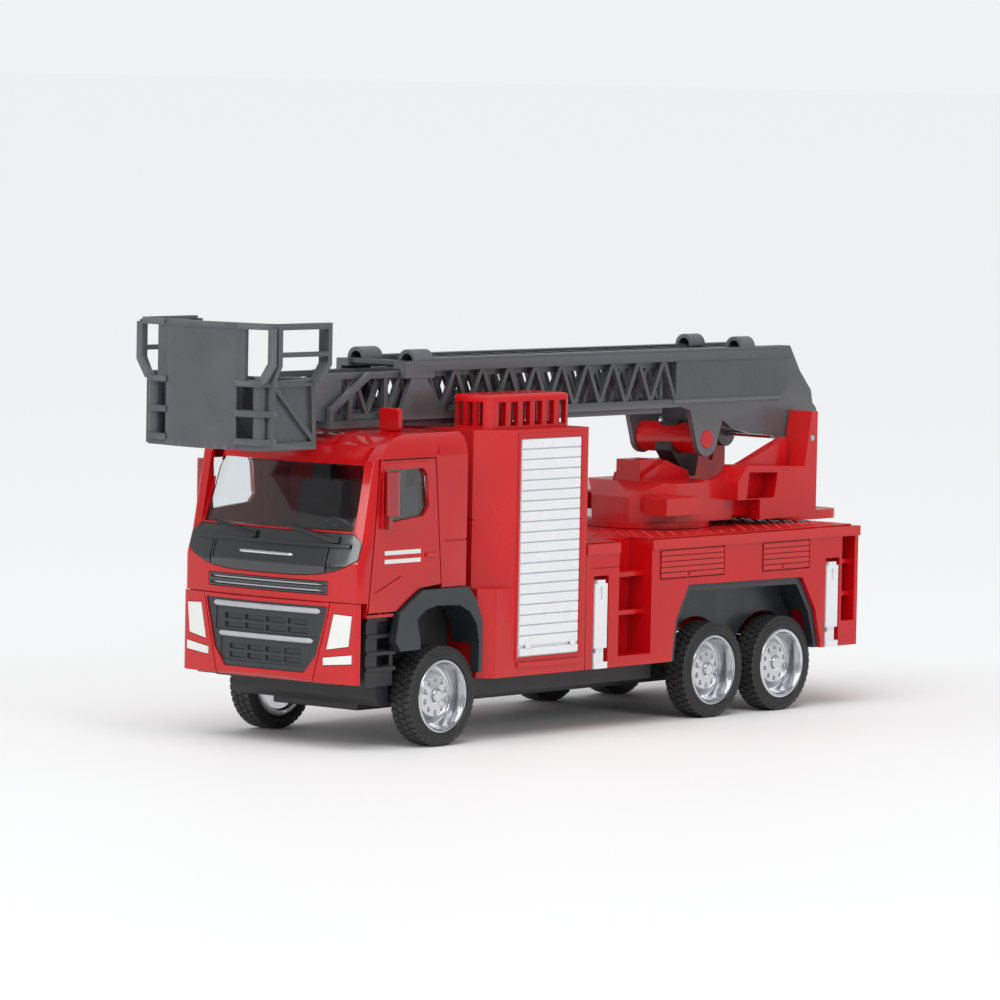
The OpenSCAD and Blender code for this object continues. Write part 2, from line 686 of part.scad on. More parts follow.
module locker_shutters() {
    hw = body_w / 2;
    color([0.76, 0.03, 0.04]) for (b = locker_boxes) both_sides() union() {
        block([hw - 0.7, b[0][0] + 0.15, b[0][1] + 0.15], [hw - 0.4, b[1][0] - 0.15, b[1][1] - 0.15]);
        for (i = [0:4]) block([hw - 0.5, b[0][0] + 0.5, b[0][1] + 0.35 + i * 1.22],
            [hw + 0.15, b[1][0] - 0.5, b[0][1] + 1.35 + i * 1.22]);
        block([hw, (b[0][0] + b[1][0]) / 2 - 1.4, b[0][1] + 0.5],
            [hw + 0.5, (b[0][0] + b[1][0]) / 2 + 1.4, b[0][1] + 1.2]);
    }
}

// A white leg that slides down in its slot
module stabiliser(side, y_slot) {
    yc = y_slot + slot_w / 2;
    x_back = body_w / 2 - 2;
    x_face = body_w / 2 + 0.1;
    color([0.93, 0.94, 0.95]) mirror([side < 0 ? 1 : 0, 0, 0]) union() {
        difference() {
            union() {
                block([x_back, yc - leg_w / 2, floor_z + 4.4],
                    [x_face, yc + leg_w / 2, floor_z + leg_l - 0.8]);
                block([x_back, yc - leg_w / 2 + 0.8, floor_z + leg_l - 0.9],
                    [x_face, yc + leg_w / 2 - 0.8, floor_z + leg_l]);
                block([x_back + 0.2, yc - leg_w / 2 + 1, floor_z + 1.2],
                    [x_face - 0.4, yc + leg_w / 2 - 0.6, floor_z + 4.5]);
                block([x_back, yc - leg_w / 2 - 0.1, floor_z],
                    [x_face + 0.2, yc + leg_w / 2 + 0.1, floor_z + 1.4]);
            }
            block([x_face - 0.5, yc - 0.4, floor_z + leg_l - 4.2], [30, yc + 0.5, floor_z + leg_l - 1.6]);
        }
        block([x_face - 1.2, yc - leg_w / 2 - 0.1, floor_z + 1.3],
            [x_face, yc - leg_w / 2 + 0.6, floor_z + 3.4]);
    }
}

// ---------------------------------------------------------------- turntable

module turntable() {
    top = deck_z + 0.4;
    tower_in = ladder_hw + 0.4;
    color([0.78, 0.03, 0.04]) difference() {
        union() {
            translate([0, slew_y, top + 0.1]) cylinder(r = 14.2, h = 1.3);
            // Eight-sided dome with a sloping top
            translate([0, slew_y, top + 1.3]) rotate([0, 0, 22.5]) cylinder(r = 13.9, h = 5.7, $fn = 8);
            intersection() {
                side_plate([[33, 47.8], [slew_y - 13, 47.8], [slew_y - 7.4, 51], [slew_y + 16, 51],
                    [slew_y + 16, 46], [33, 46]], -20, 20);
                translate([0, slew_y, top]) rotate([0, 0, 22.5]) cylinder(r = 13.9, h = 30, $fn = 8);
            }
            // Side boxes
            both_sides() block([10, 35.6, 44.3], [16.6, 48.4, 48.1]);
            // Saddle block under the drum, with its gussets
            block([-3.4, 42.3, 50.5], [3.4, 50, 55.8]);
            both_sides() side_plate([[42.3, 50.5], [43, 52.6], [50, 55.6], [58, 53], [59, 50.5]], 2.9, 4.6);
            // Bed between the dome and the towers
            block([-12.6, 47, top + 1.3], [12.6, 64, 50.9]);
            block([-tower_in - 0.6, 60, top + 1.3], [tower_in + 0.6, 90, 45.6]);
            // Side plates that rise to the towers
            both_sides() side_plate([[54, 46], [54, 51.4], [58.8, 51.4], [70.4, 55.3], [80.2, 58.8],
                [84, 60], [84, 46]],
                tower_in, 12.4);
            both_sides() side_plate([[61, 43], [61, 50.8], [64.5, 54.5], [77, 54], [85.4, 53.6],
                [87.9, roof_z], [90, roof_z],
                [90, 42.2], [69.2, 42.2], [69.2, 43]], tower_in, 16.6);
            // Tail
            top_plate(round_rect([-16.6, 80], [16.6, 100], 4.4), top + 0.5, top + 2.6);
        }
        // Windows in the side plates
        both_sides() side_plate([[64.3, 47], [65, 53], [75.5, 52.6], [74.4, 47]], 12.4, 20);
        both_sides() side_plate([[61, 40], [69.2, 40], [69.2, 46.8], [61, 46.8]], 12.6, 20);
        // Room for the ladder's tongue and for the lift arm
        block([-tower_in, 62, 45.6], [tower_in, 95, 80]);
        block([-2.9, 54, 45.6], [2.9, 66, 56]);
        x_cylinder(pivot_r + fit, -20, 20, pivot_y, pivot_z);
        translate([0, slew_y, top - 1]) cylinder(r = 4.9, h = 6);
    }
}

module turntable_pivot() {
    color([0.6, 0.6, 0.62]) translate([0, slew_y, deck_z]) cylinder(r = 4.82, h = 5);
}

// ---------------------------------------------------------------- ladder

// Zigzag of bars along a side, between y0 and y1
module zigzag(y0, y1, z0, z1, count, bar, x0, x1) {
    step = (y1 - y0) / count;
    for (i = [0:count - 1]) {
        side_bar([y0 + i * step, z0], [y0 + (i + 0.5) * step, z1], bar, x0, x1);
        side_bar([y0 + (i + 0.5) * step, z1], [y0 + (i + 1) * step, z0], bar, x0, x1);
    }
}

// Half-round hump on a rail, open at its front end
module hump(x, y0, y1, z) {
    difference() {
        intersection() {
            translate([x, y1, z]) rotate([90, 0, 0]) cylinder(r = 2.4, h = y1 - y0);
            block([x - 3, y0 - 1, z - 0.3], [x + 3, y1 + 1, z + 3]);
        }
        translate([x, y0 + 3.2, z]) rotate([90, 0, 0]) cylinder(r = 1.5, h = y1 - y0 + 3);
    }
}

tongue_outline = concat(
    [[46.8, 78.3], [88.2, ladder_top_z], [92.1, 74.8], [96.4, 70.3], [97, 67.5], [98.6, 66], [98.2, 61.5],
        [95.4, 59.6]],
    arc([pivot_y, pivot_z], 3.2, -20, -160, 8),
    [[82.5, 60.3], [74, 61.2], [67, 62.6], [63.8, 64.5]],
    arc([lug_y, lug_z], 3.9, -5, -175, 8),
    [[lug_y - 6.2, 67], [46.8, 68.2]]);

module ladder_base() {
    x1 = ladder_hw;
    x0 = ladder_hw - ladder_t;
    color([0.33, 0.34, 0.36]) difference() {
        union() {
            both_sides() {
                // Top rail, bottom rail and truss
                block([x0 - 1.8, -36.1, 79.2], [x1, 88.2, ladder_top_z]);
                block([x0, -36.1, 78], [x1 + 0.2, 88.2, ladder_top_z - 0.6]);
                block([x0, -36.1, 67.8], [x1, 48, 69.6]);
                zigzag(-33.2, 47, 69, 78.6, 9, 1, x0 + 0.1, x1 - 0.1);
                side_plate(tongue_outline, x0, x1);
                // Ridge along the solid part
                block([x0, 46, 68.6], [x1 + 0.25, 84.6, 69.5]);
                // Front collar and its side plate
                block([x0, -45.5, 76.6], [x1 + 0.2, -36, 80.2]);
                block([x0 - 2, -45.5, 78.6], [x1 + 0.2, -36, 80.2]);
                side_plate([[-43.2, 76.8], [-38.6, 76.8], [-32.4, 69.7], [-32.4, 67.8], [-46.2, 67.8],
                    [-46.2, 69.7]], x0, x1);
                hump(x1 - 2.4, -42.2, -36.2, 80.2);
                hump(x1 - 2.4, 70.4, 75.2, 80.6);
            }
            // Rungs under the top rails
            for (y = [-44.6, each [-30:8:82], 86.4]) block([-x0 + 1.7, y, 79.3], [x0 - 1.7, y + 1.2, 80.3]);
            // Bridge between the side plates, behind the inner sections
            block([-x0 - eps, 79.5, 70], [x0 + eps, 81, 79.3]);
            block([-x0 - eps, 79.5, 62], [x0 + eps, 84.5, 63.4]);
        }
        x_cylinder(2.1, -20, 20, lug_y, lug_z);
        x_cylinder(pivot_r + fit, -20, 20, pivot_y, pivot_z);
    }
}

module ladder_pivot_pin() {
    color([0.75, 0.76, 0.78]) x_cylinder(pivot_r, -16.6, 16.6, pivot_y, pivot_z);
}

module lift_cylinder() {
    drum_hw = ladder_hw - ladder_t;
    color([0.8, 0.03, 0.04]) union() {
        x_cylinder(3.4, -drum_hw, drum_hw, lug_y, lug_z);
        x_cylinder(2.1, -ladder_hw - 0.2, ladder_hw + 0.2, lug_y, lug_z);
    }
}

module lift_arm() {
    color([0.12, 0.12, 0.13]) difference() {
        side_plate([[55.5, 62], [54.6, 57.5], [59.6, 51.8], [63.6, 51.4], [64.4, 54.6], [65, 64.2],
            [57, 64.2]], -2.4, 2.4);
        x_cylinder(3.4, -20, 20, lug_y, lug_z);
    }
}

middle_hw = ladder_hw - ladder_t - section_gap;
fly_hw = middle_hw - ladder_t - section_gap;

module ladder_middle() {
    x1 = middle_hw;
    x0 = middle_hw - ladder_t;
    color([0.36, 0.37, 0.39]) union() {
        both_sides() {
            block([x0, -55, 76.7], [x1, 44, 78]);
            block([x0, -67, ladder_z], [x1, 44, 68]);
            side_bar([-66.5, 67.3], [-66.5, 71], 1, x0, x1);
            side_bar([-66.8, 70], [-54.6, 77.5], 1.3, x0, x1);
            for (y = [-60.7, -49.5]) block([x0 + 0.1, y - 0.6, 67], [x1 - 0.1, y + 0.6, y < -55 ? 73.6 : 77]);
            zigzag(-49.5, 43.5, 67.4, 77.4, 10, 0.9, x0 + 0.1, x1 - 0.1);
            block([x0, 42.9, 67], [x1, 44, 77]);
        }
        for (y = [-66.6, each [-56:8:40]]) block([-x0 - eps, y, ladder_z + 0.1], [x0 + eps, y + 1.2, 67.6]);
    }
}

module ladder_fly() {
    x1 = fly_hw;
    x0 = fly_hw - 1.1;
    lug_x = 4.2;
    color([0.38, 0.39, 0.41]) difference() {
        union() {
            both_sides() {
                block([x0, -69.4, 76.7], [x1, 40, 78]);
                block([x0, -69.4, 68.1], [x1, 40, 69.3]);
                zigzag(-62, 39.4, 68.8, 77.4, 12, 0.9, x0 + 0.1, x1 - 0.1);
                // Cheeks and ears that carry the bucket
                side_plate([[-69.4, 78], [-62, 78], [-62, 72], [-65.4, 68.1], [-69.4, 68.1],
                    [-71.4, 69.4]], x0, x1);
                side_plate(concat([[-66, 68.1]], [[-66, 77]], arc([tilt_y, tilt_z], 3.4, 75, 285, 14)),
                    lug_x, x1);
            }
            for (y = [-62:8:34]) block([-x0 - eps, y, 68.2], [x0 + eps, y + 1.2, 69.2]);
            block([-lug_x - 0.1, -69.4, 68.1], [lug_x + 0.1, -67.2, 77]);
        }
        x_cylinder(0.9 + fit, -20, 20, tilt_y, tilt_z);
    }
}

// ---------------------------------------------------------------- bucket

module bucket() {
    y_back = -82.4;
    rail = 1.2;
    shield_plan = concat(
        arc([0, -99.9 + 36], 36, 254, 286, 10),
        arc([0, -99.9 + 36], 35, 286, 254, 10));
    rail_outer = concat([[-19.6, -80], [-19.6, -95.6], [-17.2, -98.2], [-10.4, -98.9]],
        arc([0, -100 + 36], 36, 253.5, 286.5, 8), [[10.4, -98.9], [17.2, -98.2], [19.6, -95.6], [19.6, -80]]);
    rail_inner = [[18.3, -80], [18.3, -95.2], [16.4, -96.9], [10, -97.4], [0, -98.4], [-10, -97.4],
        [-16.4, -96.9],
        [-18.3, -95.2], [-18.3, -80]];
    foot_plan = concat([[-17.6, y_back], [-17.6, -95.6], [-15.4, -97.8], [-10, -98.4]],
        arc([0, -99.9 + 36], 36, 254, 286, 8), [[10, -98.4], [15.4, -97.8], [17.6, -95.6], [17.6, y_back]]);
    color([0.42, 0.43, 0.45]) difference() {
        union() {
            // Floor with its rim, front shield and top rail
            top_plate(foot_plan, 63.3, 64.6);
            top_plate(shield_plan, 63.4, 88.9);
            top_plate(concat(rail_outer, rail_inner), bucket_top_z - 1.3, bucket_top_z);
            both_sides() {
                // Bars round the corner, at three heights
                for (z = [64.4, 70.2, 76.4])
                    top_plate([[9.6, -98.9], [15.4, -98.2], [17.8, -95.6], [17.8, -94.8], [16.2, -94.8],
                        [14.8, -96.6],
                        [9.6, -97.4]], z, z + 1.3);
                // Corner post
                translate([14.6, -96.4, 64]) cylinder(r = 1.5, h = 13);
                // Flared panel over the corner
                front_plate([[14, 77], [16.8, 77], [19.3, 80.8], [19.3, 88.6], [17.6, 88.6], [17.6, 81.4],
                    [15.6, 78.6], [14, 78.6]],
                    -97.6, -96.7);
                // Strip beside the shield
                block([9.6, -98.6, 77], [12.2, -97.6, 88.6]);
                // Side: recessed panel, frame and brace
                side_plate([[-95.6, 64.4], [y_back, 64.4], [-83.2, 77.4], [-95.6, 77]], 16.2, 16.9);
                side_plate([[-96, 64], [-95, 64], [-95, 77.6], [-96, 77.6]], 16.2, 17.7);
                side_plate([[y_back - 1.1, 64], [y_back, 64], [-83.1, 77.6], [-84.3, 77.6]], 16.2, 17.7);
                side_bar([-95.6, 76.8], [-83.2, 65.2], 1.1, 16.2, 17.7);
                block([16.2, -96, 76.4], [17.7, -83.1, 77.7]);
                block([16.2, -96, 63.4], [17.7, y_back, 65]);
                // Flared upper frame of the side
                front_plate([[16.2, 77], [17.7, 77], [19.6, 80.8], [19.6, 89], [18.4, 89], [18.4, 81.2]],
                    -96.4, -95.2);
                side_plate([[-84.3, 77], [-83.1, 77], [-80, 80.8], [-80, 89], [-81.2, 89], [-81.2, 81.2]],
                    16.9, 19.6);
                block([18.4, -96.2, 82.6], [19.6, -80, 83.6]);
                // Rear posts and rails
                block([11, y_back - 1, 64], [16.4, y_back, 77.6]);
            }
            block([-17, y_back - 1, 76.4], [17, y_back, 77.6]);
            block([-11.2, y_back - 1, 64], [11.2, y_back, 70.6]);
            // Bracket that reaches back to the ladder
            both_sides() side_plate(concat([[y_back - 1, 66], [y_back - 1, 77]],
                arc([tilt_y, tilt_z], 2.7, 90, -90, 12)),
                2.2, 3.8);
        }
        x_cylinder(0.9 + fit, -20, 20, tilt_y, tilt_z);
    }
}

module bucket_pin() {
    color([0.75, 0.76, 0.78]) x_cylinder(0.9, -fly_hw, fly_hw, tilt_y, tilt_z);
}

// ---------------------------------------------------------------- build

chassis_base();
chassis_screws();
axle_at(front_axle_y);  // front_axle
axle_at(middle_axle_y);  // middle_axle
axle_at(rear_axle_y);  // rear_axle
rim(1, front_axle_y);  // rim_front_left
rim(-1, front_axle_y);  // rim_front_right
rim(1, middle_axle_y);  // rim_middle_left
rim(-1, middle_axle_y);  // rim_middle_right
rim(1, rear_axle_y);  // rim_rear_left
rim(-1, rear_axle_y);  // rim_rear_right
tyre(1, front_axle_y);  // tyre_front_left
tyre(-1, front_axle_y);  // tyre_front_right
tyre(1, middle_axle_y);  // tyre_middle_left
tyre(-1, middle_axle_y);  // tyre_middle_right
tyre(1, rear_axle_y);  // tyre_rear_left
tyre(-1, rear_axle_y);  // tyre_rear_right
cab_shell();
windscreen();
cab_interior();
steering_wheel();
front_panel();
wipers();
upper_grille();
bumper();
main_grille();
lamps(lamp_outline(0));  // headlights
lamps(fog_outline(0));  // fog_lights
door(1);  // door_left
door(-1);  // door_right
door_glass(1);  // door_glass_left
door_glass(-1);  // door_glass_right
mirror_arm(1);  // mirror_left
mirror_arm(-1);  // mirror_right
cab_steps();
front_fenders();
ladder_guide();
pump_body();
roof_cage();
shutter(1);  // shutter_left
shutter(-1);  // shutter_right
shutter_handles();
rear_body();
deck_plate();
rear_fenders();
locker_shutters();
stabiliser(1, slot_ys[0]);  // stabiliser_front_left
stabiliser(-1, slot_ys[0]);  // stabiliser_front_right
stabiliser(1, slot_ys[1]);  // stabiliser_rear_left
stabiliser(-1, slot_ys[1]);  // stabiliser_rear_right
turntable();
turntable_pivot();
ladder_pivot_pin();
ladder_base();
lift_cylinder();
lift_arm();
ladder_middle();
ladder_fly();
bucket();
bucket_pin();
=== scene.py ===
"""Looks of the toy ladder fire engine. Lengths are metres, and MM turns millimetres into them.

Every CAD node but the tyres is replaced by a copy. Its edges are rounded, unless that would fold faces over:
then it keeps the CAD's edges. The tyres are built again with their tread. The deck's raised pattern, the bars
of the grilles and of the front panel, and the stripes of the doors are added.
"""

import json
import math

import bmesh
import bpy
from mathutils import Matrix, Vector


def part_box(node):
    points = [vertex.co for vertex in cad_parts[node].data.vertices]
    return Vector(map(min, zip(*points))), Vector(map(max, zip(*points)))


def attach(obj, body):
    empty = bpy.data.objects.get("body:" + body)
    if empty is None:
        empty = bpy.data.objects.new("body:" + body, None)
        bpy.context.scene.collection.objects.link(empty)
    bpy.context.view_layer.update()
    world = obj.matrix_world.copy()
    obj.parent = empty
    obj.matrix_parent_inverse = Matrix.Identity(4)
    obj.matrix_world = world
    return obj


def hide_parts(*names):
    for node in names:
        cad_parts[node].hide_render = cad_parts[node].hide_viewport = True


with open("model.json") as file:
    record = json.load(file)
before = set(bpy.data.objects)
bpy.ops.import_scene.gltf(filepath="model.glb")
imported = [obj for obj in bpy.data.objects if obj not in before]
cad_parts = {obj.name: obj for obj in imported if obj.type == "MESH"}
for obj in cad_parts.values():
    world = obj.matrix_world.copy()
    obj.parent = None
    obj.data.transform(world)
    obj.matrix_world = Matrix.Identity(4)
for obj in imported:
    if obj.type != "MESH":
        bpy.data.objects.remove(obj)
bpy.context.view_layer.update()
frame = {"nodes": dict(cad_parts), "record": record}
MM = 0.001

# ------------------------------------------------------------------ materials

RED = (0.5, 0.0025, 0.005)
RED_PLASTIC = (0.53, 0.003, 0.006)
# The stretch of a noise texture's values that most of it lies in
NOISE_LOW, NOISE_HIGH = 0.3, 0.7
# Pointiness at which an edge starts to get the painted highlight, and at which that highlight is brightest
EDGE_STARTS, EDGE_FULL = 0.535, 0.62
# Distance in mm between the swells of a moulded skin
WAVE_LENGTH = 9


def node(tree, kind, **values):
    """A shader node with its settings, and its sockets given by name with _ for a space."""
    made = tree.nodes.new(kind)
    for key, value in values.items():
        if hasattr(made, key):
            setattr(made, key, value)
        else:
            made.inputs[key.replace("_", " ")].default_value = value
    return made


def painted_edge_highlight(tree, base, patches, edge_highlight, edge_highlight_colour):
    """The base colour, turned lighter where an edge sticks out, in patches: a painted highlight along the
    edges, which on the red enamel also stands for thinner paint there.
    """
    link = tree.links.new
    edge = node(tree, "ShaderNodeMapRange", From_Min=EDGE_STARTS, From_Max=EDGE_FULL, To_Min=0.0, To_Max=edge_highlight)
    link(tree.nodes.new("ShaderNodeNewGeometry").outputs["Pointiness"], edge.inputs["Value"])
    patchy = node(tree, "ShaderNodeMath", operation="MULTIPLY")
    link(edge.outputs["Result"], patchy.inputs[0])
    link(patches, patchy.inputs[1])
    highlit_mix = node(tree, "ShaderNodeMix", data_type="RGBA")
    link(patchy.outputs["Value"], highlit_mix.inputs[0])
    plain, highlit = [socket for socket in highlit_mix.inputs if socket.type == "RGBA"]
    link(base, plain)
    highlit.default_value = (*edge_highlight_colour, 1)
    return next(socket for socket in highlit_mix.outputs if socket.type == "RGBA")


def finish_material(name, colour, rough, spread=0.06, mottle=0.05, mottle_size=6, grain=0.12, grain_bump=0.02,
                    wave=0.0, edge_highlight=0.0, edge_highlight_colour=(0.5, 0.5, 0.5), round_edges=0.12, **shader_values):
    """A surface whose colour, roughness and relief vary at the scales of the real one.
    Roughness varies by spread about rough, and colour by mottle over mottle_size mm. grain is the size in mm
    of the fine relief and grain_bump its depth. wave is the depth of the soft unevenness of a moulded or cast
    skin. The edge highlight and its colour give how far, and towards what, edges that stick out are lightened
    as a painted highlight, and round_edges is the width in mm that an edge looks rounded to."""
    made = bpy.data.materials.new(name)
    made.use_nodes = True
    tree = made.node_tree
    link = tree.links.new
    shader = tree.nodes["Principled BSDF"]
    for key, value in shader_values.items():
        shader.inputs[key.replace("_", " ")].default_value = value
    place = tree.nodes.new("ShaderNodeTexCoord").outputs["Object"]

    slow = node(tree, "ShaderNodeTexNoise", Scale=1 / (mottle_size * MM), Detail=3.0, Roughness=0.55)
    fine = node(tree, "ShaderNodeTexNoise", Scale=1 / (grain * MM), Detail=4.0, Roughness=0.6)
    for texture in (slow, fine):
        link(place, texture.inputs["Vector"])

    tint = node(tree, "ShaderNodeValToRGB")
    darker, lighter = tint.color_ramp.elements
    darker.position, lighter.position = NOISE_LOW, NOISE_HIGH
    darker.color = (*[c * (1 - mottle) for c in colour], 1)
    lighter.color = (*[min(1, c * (1 + mottle)) for c in colour], 1)
    link(slow.outputs["Fac"], tint.inputs["Fac"])
    base = tint.outputs["Color"]
    # Painted highlight: edges that stick out are turned lighter in patches; on the red enamel this also
    # stands for thinner paint there.
    if edge_highlight:
        base = painted_edge_highlight(tree, base, fine.outputs["Fac"], edge_highlight, edge_highlight_colour)
    link(base, shader.inputs["Base Color"])

    gloss = node(tree, "ShaderNodeMapRange", From_Min=NOISE_LOW, From_Max=NOISE_HIGH,
                 To_Min=max(0.02, rough - spread), To_Max=rough + spread)
    link(slow.outputs["Fac"], gloss.inputs["Value"])
    link(gloss.outputs["Result"], shader.inputs["Roughness"])

    rounded_edge = node(tree, "ShaderNodeBevel", samples=4, Radius=round_edges * MM)
    relief = node(tree, "ShaderNodeBump", Strength=min(1.0, grain_bump * 4), Distance=grain_bump * MM)
    link(fine.outputs["Fac"], relief.inputs["Height"])
    link(rounded_edge.outputs["Normal"], relief.inputs["Normal"])
    normal = relief.outputs["Normal"]
    if wave:
        swell = node(tree, "ShaderNodeTexNoise", Scale=1 / (WAVE_LENGTH * MM), Detail=1.0)
        link(place, swell.inputs["Vector"])
        ripple = node(tree, "ShaderNodeBump", Strength=1.0, Distance=wave * MM)
        link(swell.outputs["Fac"], ripple.inputs["Height"])
        link(normal, ripple.inputs["Normal"])
        normal = ripple.outputs["Normal"]
    link(normal, shader.inputs["Normal"])
    return made


MATERIAL = {
    # The edge lightening of each finish below is a painted highlight on its sticking-out edges, and on the
    # red enamel also thinner paint there.
    "red_paint": finish_material(
        "red_enamel", RED, 0.2, mottle=0.05, grain=0.35, grain_bump=0.006, wave=0.07, edge_highlight=0.35,
        edge_highlight_colour=(0.7, 0.1, 0.08), Specular_IOR_Level=0.3, Coat_Weight=0.4, Coat_Roughness=0.05),
    "red_plastic": finish_material(
        "red_moulded_plastic", RED_PLASTIC, 0.24, mottle=0.06, mottle_size=11, grain=0.25, grain_bump=0.008,
        wave=0.09, edge_highlight=0.25, edge_highlight_colour=(0.72, 0.11, 0.09), Specular_IOR_Level=0.3, Coat_Weight=0.2,
        Coat_Roughness=0.1),
    "black_plastic": finish_material(
        "black_satin_plastic", (0.017, 0.017, 0.019), 0.42, spread=0.08, mottle=0.2, grain=0.16,
        grain_bump=0.02, wave=0.04),
    "black_gloss": finish_material(
        "black_gloss_plastic", (0.016, 0.018, 0.021), 0.12, spread=0.03, mottle=0.12, grain=0.3,
        grain_bump=0.004, wave=0.05, Coat_Weight=0.7, Coat_Roughness=0.04),
    "slate_plastic": finish_material(
        "slate_plastic", (0.02, 0.026, 0.031), 0.3, spread=0.08, mottle=0.12, grain=0.18, grain_bump=0.015,
        wave=0.06, edge_highlight=0.4, edge_highlight_colour=(0.12, 0.14, 0.15)),
    "grey_plastic": finish_material(
        "grey_ladder_plastic", (0.07, 0.073, 0.079), 0.3, spread=0.07, mottle=0.08, grain=0.2,
        grain_bump=0.012, wave=0.05, edge_highlight=0.5, edge_highlight_colour=(0.25, 0.25, 0.27)),
    "white_plastic": finish_material(
        "white_plastic", (0.8, 0.81, 0.83), 0.26, mottle=0.025, mottle_size=14, round_edges=0.03, grain=0.25,
        grain_bump=0.008, wave=0.05, Subsurface_Weight=0.12, Subsurface_Scale=0.0012, Coat_Weight=0.2,
        Coat_Roughness=0.08),
    "lamp_white": finish_material(
        "lamp_white", (0.74, 0.74, 0.71), 0.18, mottle=0.03, grain=0.2, grain_bump=0.006, Coat_Weight=0.8,
        Coat_Roughness=0.03),
    "chrome": finish_material(
        "vacuum_chrome", (0.66, 0.67, 0.69), 0.16, spread=0.04, mottle=0.04, grain=0.3, grain_bump=0.004,
        wave=0.06, Metallic=1.0),
    "steel": finish_material(
        "bright_steel", (0.55, 0.56, 0.58), 0.24, spread=0.08, mottle=0.12, mottle_size=2, grain=0.08,
        grain_bump=0.006, Metallic=1.0),
    "tyre": finish_material(
        "tyre_rubber", (0.014, 0.014, 0.015), 0.55, spread=0.12, mottle=0.3, mottle_size=2.5, grain=0.14,
        grain_bump=0.03, wave=0.03, edge_highlight=0.5, edge_highlight_colour=(0.07, 0.07, 0.072)),
    "glazing": finish_material(
        "clear_glazing", (0.93, 0.96, 0.97), 0.04, spread=0.02, mottle=0.02, grain=0.6, grain_bump=0.003,
        wave=0.05, Transmission_Weight=1.0, IOR=1.49),
}
# Light grey for the bars of the grilles: a painted highlight, since these bars are slate plastic with bright
# highlights on them.
HIGHLIGHT_GREY_BAR = finish_material(
    "painted_highlight_grey_bar", (0.42, 0.44, 0.46), 0.3, mottle=0.05, grain=0.2, grain_bump=0.008)
DARK_RED = finish_material(
    "dark_red_plastic", (0.3, 0.008, 0.012), 0.22, mottle=0.08, grain=0.25, grain_bump=0.008,
    Coat_Weight=0.5, Coat_Roughness=0.05)
SLOT_MATERIAL = {s["node"]: s["material_slot"] for s in frame["record"]["subparts"]}

# ------------------------------------------------------------------ mesh helpers


def body_of(cad_node):
    """The CAD body that a node belongs to."""
    return next(b for b, names in frame["record"]["behaviour"]["bodies"].items() if cad_node in names)


def add_piece(name, bm, material, body, replaces=(), smooth_angle=35):
    """A new object from a bmesh, riding on a CAD body. The mesh gets outward normals and smooth curves."""
    bmesh.ops.recalc_face_normals(bm, faces=bm.faces)
    for face in bm.faces:
        face.smooth = True
    for edge in bm.edges:
        if len(edge.link_faces) == 2 and edge.calc_face_angle(0) > math.radians(smooth_angle):
            edge.smooth = False
    mesh = bpy.data.meshes.new(name)
    bm.to_mesh(mesh)
    bm.free()
    made = bpy.data.objects.new(name, mesh)
    bpy.context.scene.collection.objects.link(made)
    mesh.materials.append(material)
    flat = made.modifiers.new("flat_faces", "WEIGHTED_NORMAL")
    flat.keep_sharp = True
    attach(made, body)
    if replaces:
        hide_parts(*replaces)


def add_rounded_box(bm, low, high, bevel):
    """A box with its edges rounded to bevel, added to bm."""
    verts = bmesh.ops.create_cube(bm, size=1)["verts"]
    low, high = Vector(low), Vector(high)
    size = high - low
    for v in verts:
        v.co = Vector(((v.co.x + 0.5) * size.x, (v.co.y + 0.5) * size.y, (v.co.z + 0.5) * size.z)) + low
    edges = list({e for v in verts for e in v.link_edges})
    bmesh.ops.bevel(bm, geom=edges, offset=bevel, segments=2, profile=0.7, affect="EDGES")


def add_lathe(bm, outline, centre, side, steps):
    """Revolves (distance out along X, radius) points round the X axis through centre; side is +1 or -1."""
    rings = []
    for out, radius in outline:
        ring = [bm.verts.new(centre + Vector((side * out, radius * math.cos(a), radius * math.sin(a))))
                for a in (2 * math.pi * i / steps for i in range(steps))]
        rings.append(ring)
    for a, b in zip(rings, rings[1:]):
        for i in range(steps):
            j = (i + 1) % steps
            bm.faces.new((a[i], a[j], b[j], b[i]))
    return rings


# Corners closer than this are one, and faces turned by less than this many degrees are joined
MERGE_DISTANCE, FLAT_ANGLE = 0.002 * MM, 0.6
# Edges sharper than this many degrees are rounded
SHARP_ANGLE = 32
# Share of a shape's surface that may be folded over, which is too little to see
FOLDED_LIMIT = 0.0004


def folded_share(mesh):
    """How much of a mesh's surface is drawn back to front, because a face folds over itself."""
    mesh.calc_loop_triangles()
    triangles = mesh.loop_triangles
    folded = [t for t in triangles if t.normal.dot(mesh.polygons[t.polygon_index].normal) < 0.5]
    return sum(t.area for t in folded) / sum(t.area for t in triangles)


def bevelled(source, width):
    """A mesh with its flat faces joined up and its sharp edges rounded to width mm."""
    bm = bmesh.new()
    bm.from_mesh(source)
    bmesh.ops.remove_doubles(bm, verts=bm.verts, dist=MERGE_DISTANCE)
    bmesh.ops.dissolve_limit(bm, angle_limit=math.radians(FLAT_ANGLE), verts=bm.verts, edges=bm.edges)
    mesh = bpy.data.meshes.new(source.name + "_joined")
    bm.to_mesh(mesh)
    bm.free()
    made = bpy.data.objects.new(mesh.name, mesh)
    bpy.context.scene.collection.objects.link(made)
    bevel = made.modifiers.new("edges", "BEVEL")
    bevel.width = width * MM
    bevel.segments = 2
    bevel.limit_method = "ANGLE"
    bevel.angle_limit = math.radians(SHARP_ANGLE)
    bevel.use_clamp_overlap = False
    bevel.loop_slide = False
    bevel.miter_outer = "MITER_ARC"
    depsgraph = bpy.context.evaluated_depsgraph_get()
    done = bpy.data.meshes.new_from_object(made.evaluated_get(depsgraph))
    bpy.data.objects.remove(made)
    return done


